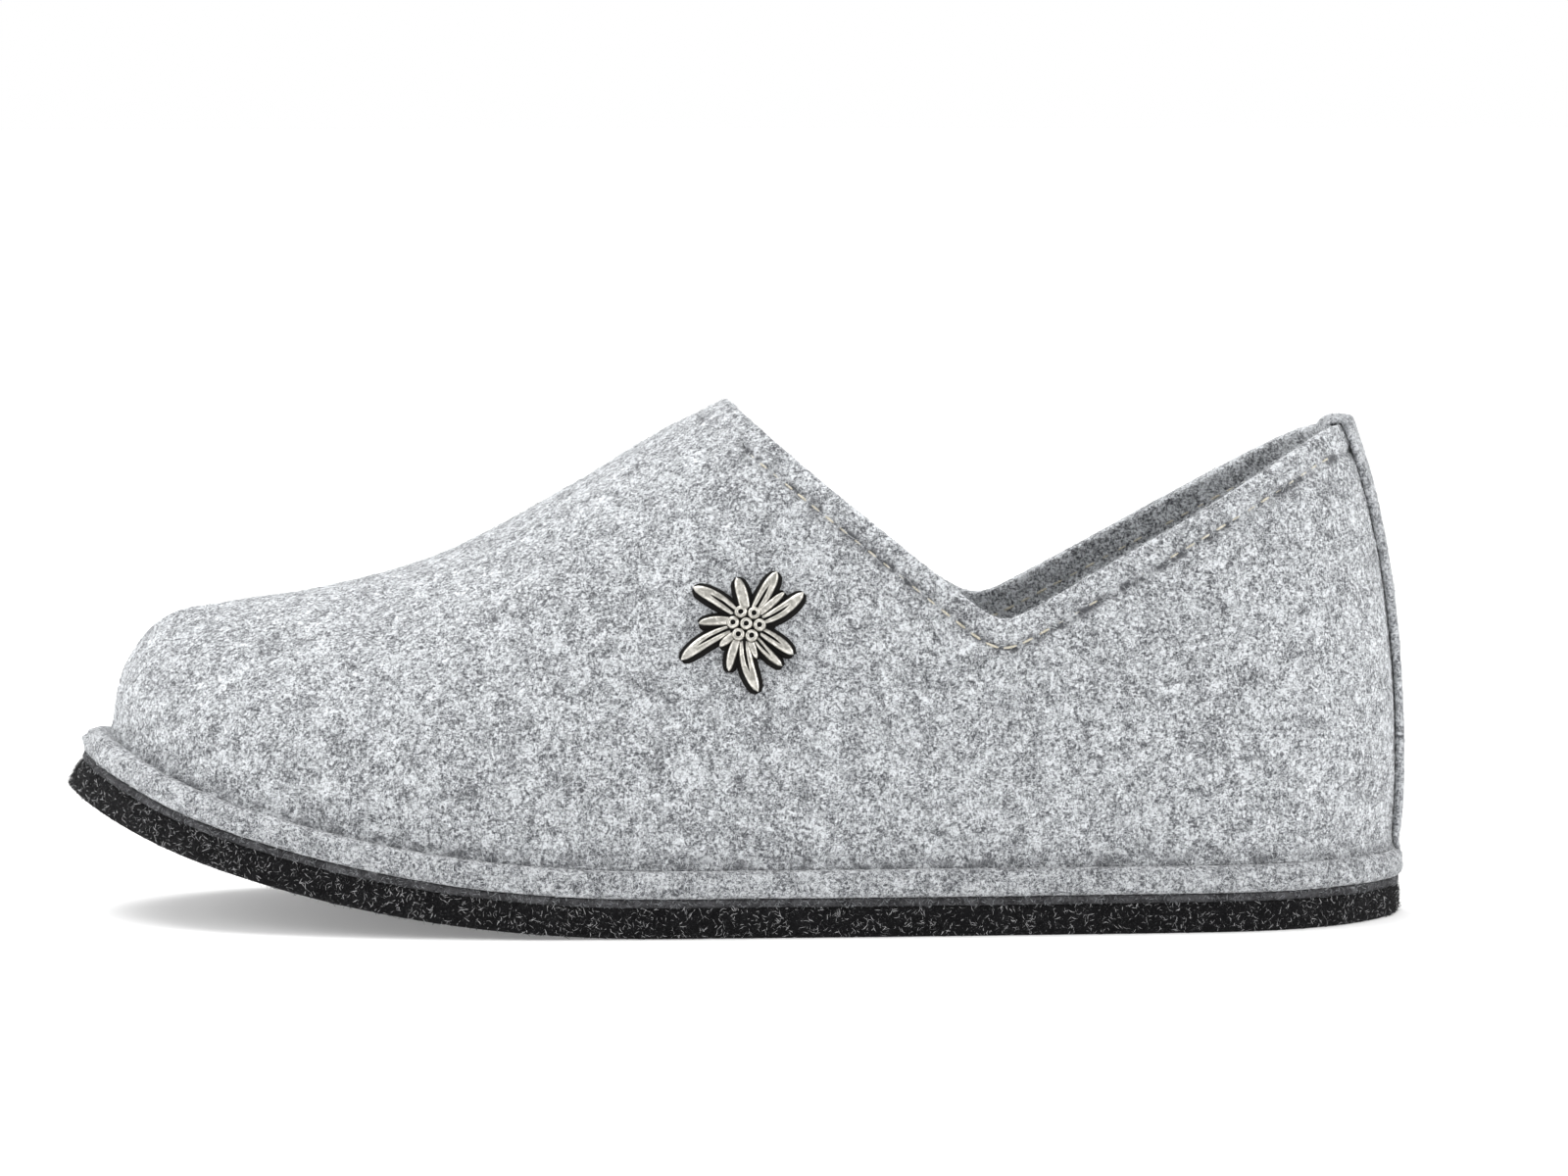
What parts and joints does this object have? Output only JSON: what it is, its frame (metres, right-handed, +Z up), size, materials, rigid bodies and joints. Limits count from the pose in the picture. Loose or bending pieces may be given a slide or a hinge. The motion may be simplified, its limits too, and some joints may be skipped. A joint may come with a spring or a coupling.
{
  "type": "house slipper",
  "caption": "Light grey wool felt house slipper with a notched mouth, a felt welt, a black felt sole and a small cast flower on its outer side.",
  "frame": {"origin": "middle of the box round the slipper, on the floor under its sole", "axes": "+X from the toe to the heel, +Y to the inner (big toe) side, +Z up"},
  "size_m": [0.2672, 0.0982, 0.1022],
  "materials": {
    "light_grey_felt": "matt mottled wool felt with a short nap",
    "dark_grey_felt": "matt thin felt sheet",
    "black_felt": "matt dense felt with pale flecks",
    "antique_silver": "worn antique silver, dark in its recesses"
  },
  "bodies": {
    "root": {"outsole": "black_felt", "midsole": "dark_grey_felt", "welt": "light_grey_felt", "insole": "light_grey_felt", "upper": "light_grey_felt", "heel_tape": "light_grey_felt", "ornament": "antique_silver"}
  },
  "joints": []
}
